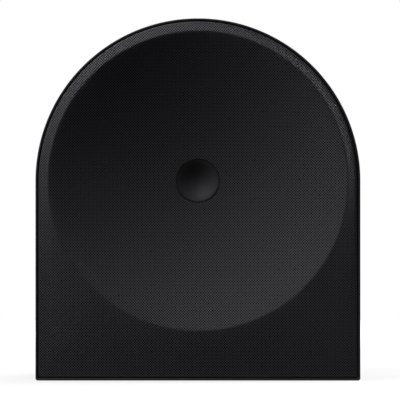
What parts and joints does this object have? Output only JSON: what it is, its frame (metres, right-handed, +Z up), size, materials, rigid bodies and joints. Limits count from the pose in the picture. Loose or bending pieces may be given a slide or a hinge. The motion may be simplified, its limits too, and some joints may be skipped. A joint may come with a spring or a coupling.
{
  "type": "tabletop loudspeaker",
  "caption": "Arch-topped tabletop loudspeaker with a mesh-covered dished front round a smooth centre cup, a rear bass port, push buttons, a slide switch and a mains inlet.",
  "frame": {"origin": "on the floor under the middle of the cabinet's box", "axes": "+Z up, +X to the right as seen from the front, +Y from the front to the back, so the dished front faces -Y"},
  "size_m": [0.25, 0.13, 0.279],
  "materials": {
    "cabinet_plastic": "black satin moulded plastic with a fine grain",
    "rubber": "matt black rubber",
    "foam": "black closed-cell foam",
    "inner_plastic": "matt black moulded plastic",
    "grille_steel": "black powder coated perforated steel",
    "cup_plastic": "smooth satin black plastic",
    "black_steel": "black coated steel",
    "paper_cone": "coated pulp",
    "copper": "enamelled copper wire",
    "spider_cloth": "stiffened cloth",
    "plated_steel": "zinc plated steel",
    "ferrite": "dark sintered ferrite",
    "black_cloth": "black coated cloth",
    "circuit_board": "green glass fibre board",
    "aluminium": "extruded aluminium",
    "sleeve_film": "dark shrink film over an aluminium can",
    "socket_plastic": "black moulded plastic",
    "brass": "bright brass",
    "lead_jacket": "black flexible jacket"
  },
  "bodies": {
    "cabinet": {"amplifier_heat_sink": "aluminium", "baffle_screw_1": "black_steel", "baffle_screw_2": "black_steel", "baffle_screw_3": "black_steel", "baffle_screw_4": "black_steel", "baffle_seal": "foam", "base_pad": "rubber", "bass_port": "inner_plastic", "centre_cup": "cup_plastic", "control_board": "circuit_board", "front_baffle": "inner_plastic", "grille_frame": "inner_plastic", "grille_mesh": "grille_steel", "housing": "cabinet_plastic", "inlet_pin_left": "brass", "inlet_pin_right": "brass", "main_board": "circuit_board", "mains_inlet": "socket_plastic", "mains_lead": "lead_jacket", "power_board": "circuit_board", "power_transformer": "ferrite", "rear_cover": "cabinet_plastic", "rear_screw_1": "black_steel", "rear_screw_2": "black_steel", "rear_screw_3": "black_steel", "rear_screw_4": "black_steel", "rear_screw_5": "black_steel", "rear_screw_6": "black_steel", "rear_seal": "foam", "reservoir_capacitor": "sleeve_film", "supply_lead": "lead_jacket", "tweeter_horn_left": "inner_plastic", "tweeter_horn_right": "inner_plastic", "tweeter_lead_left": "lead_jacket", "tweeter_lead_right": "lead_jacket", "tweeter_motor_left": "plated_steel", "tweeter_motor_right": "plated_steel", "wifi_antenna": "circuit_board", "woofer_basket": "black_steel", "woofer_lead": "lead_jacket", "woofer_magnet": "ferrite", "woofer_screw_1": "black_steel", "woofer_screw_2": "black_steel", "woofer_screw_3": "black_steel", "woofer_screw_4": "black_steel", "woofer_seal": "foam", "woofer_spider": "spider_cloth", "woofer_surround": "rubber", "woofer_terminal": "inner_plastic", "woofer_top_plate": "plated_steel", "woofer_yoke": "plated_steel"},
    "woofer_diaphragm": {"woofer_cone": "paper_cone", "woofer_dust_cap": "paper_cone", "woofer_voice_coil": "copper"},
    "left_tweeter_diaphragm": {"tweeter_dome_left": "black_cloth"},
    "right_tweeter_diaphragm": {"tweeter_dome_right": "black_cloth"},
    "power_key": {"button_power": "rubber"},
    "volume_down_key": {"button_volume_down": "rubber"},
    "volume_up_key": {"button_volume_up": "rubber"},
    "microphone_slider": {"microphone_switch": "rubber"}
  },
  "joints": [
    {"name": "woofer_stroke", "type": "slide", "parent": "cabinet", "child": "woofer_diaphragm", "axis": [0, -1, 0], "range_m": [-0.005, 0.005], "stiffness_N_per_m": 1200, "deforming": ["woofer_surround", "woofer_spider"]},
    {"name": "left_tweeter_stroke", "type": "slide", "parent": "cabinet", "child": "left_tweeter_diaphragm", "axis": [0, -1, 0], "range_m": [-0.0003, 0.0003], "stiffness_N_per_m": 1500},
    {"name": "right_tweeter_stroke", "type": "slide", "parent": "cabinet", "child": "right_tweeter_diaphragm", "axis": [0, -1, 0], "range_m": [-0.0003, 0.0003], "stiffness_N_per_m": 1500},
    {"name": "power_press", "type": "slide", "parent": "cabinet", "child": "power_key", "axis": [0, -1, 0], "range_m": [0, 0.0008], "stiffness_N_per_m": 1500},
    {"name": "volume_down_press", "type": "slide", "parent": "cabinet", "child": "volume_down_key", "axis": [0, -1, 0], "range_m": [0, 0.0008], "stiffness_N_per_m": 1500},
    {"name": "volume_up_press", "type": "slide", "parent": "cabinet", "child": "volume_up_key", "axis": [0, -1, 0], "range_m": [0, 0.0008], "stiffness_N_per_m": 1500},
    {"name": "microphone_slide", "type": "slide", "parent": "cabinet", "child": "microphone_slider", "axis": [1, 0, 0], "range_m": [0, 0.003]}
  ]
}
